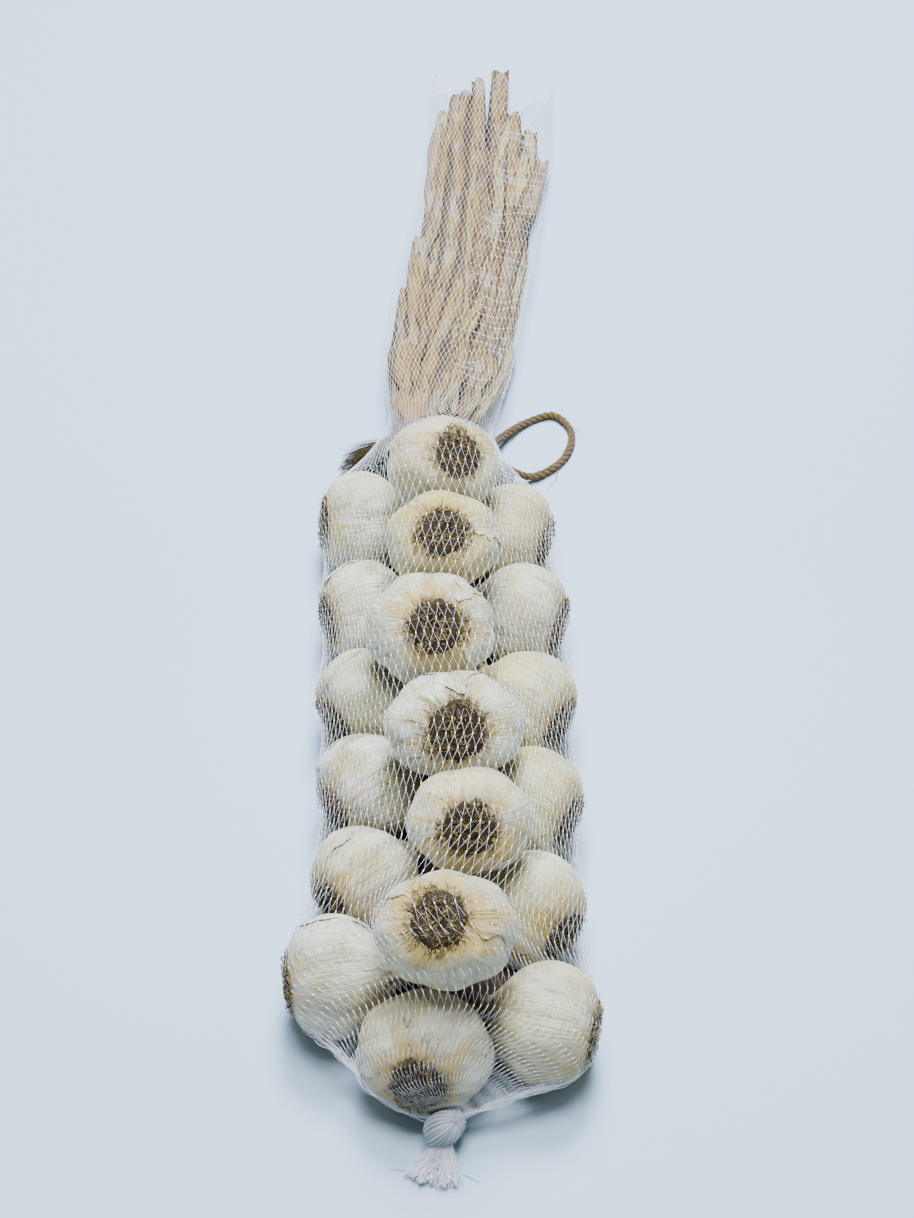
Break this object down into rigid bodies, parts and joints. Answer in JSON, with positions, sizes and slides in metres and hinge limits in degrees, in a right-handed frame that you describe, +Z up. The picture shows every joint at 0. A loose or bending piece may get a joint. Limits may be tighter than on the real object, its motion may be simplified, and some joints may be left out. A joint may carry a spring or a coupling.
{
  "type": "garlic braid",
  "caption": "Braid of whole garlic bulbs lying on its back, roots outward, with plaited dried stalks as a handle, a twine hanging loop and the knotted foot of its net",
  "frame": {"origin": "bottom centre of the braid's box, without the hanging loop, on the surface it lies on", "axes": "+Y from the knotted foot to the cut stalk tips, +Z up out of the shown side, +X to the right of the shown side"},
  "size_m": [0.122, 0.6348, 0.0893],
  "materials": {
    "garlic_skin": "dry papery skin, satin",
    "dried_stalk": "dry fibrous straw, matt",
    "twine": "rough twisted sisal",
    "white_net": "fine white plastic mesh"
  },
  "bodies": {
    "root": {"bulb_front_1": "garlic_skin", "bulb_front_2": "garlic_skin", "bulb_front_3": "garlic_skin", "bulb_front_4": "garlic_skin", "bulb_front_5": "garlic_skin", "bulb_front_6": "garlic_skin", "bulb_left_1": "garlic_skin", "bulb_left_2": "garlic_skin", "bulb_left_3": "garlic_skin", "bulb_left_4": "garlic_skin", "bulb_left_5": "garlic_skin", "bulb_left_6": "garlic_skin", "bulb_right_1": "garlic_skin", "bulb_right_2": "garlic_skin", "bulb_right_3": "garlic_skin", "bulb_right_4": "garlic_skin", "bulb_right_5": "garlic_skin", "bulb_right_6": "garlic_skin", "bulb_foot": "garlic_skin", "stalks": "dried_stalk", "twine_tie": "twine", "twine_loop": "twine", "net": "white_net"}
  },
  "joints": []
}
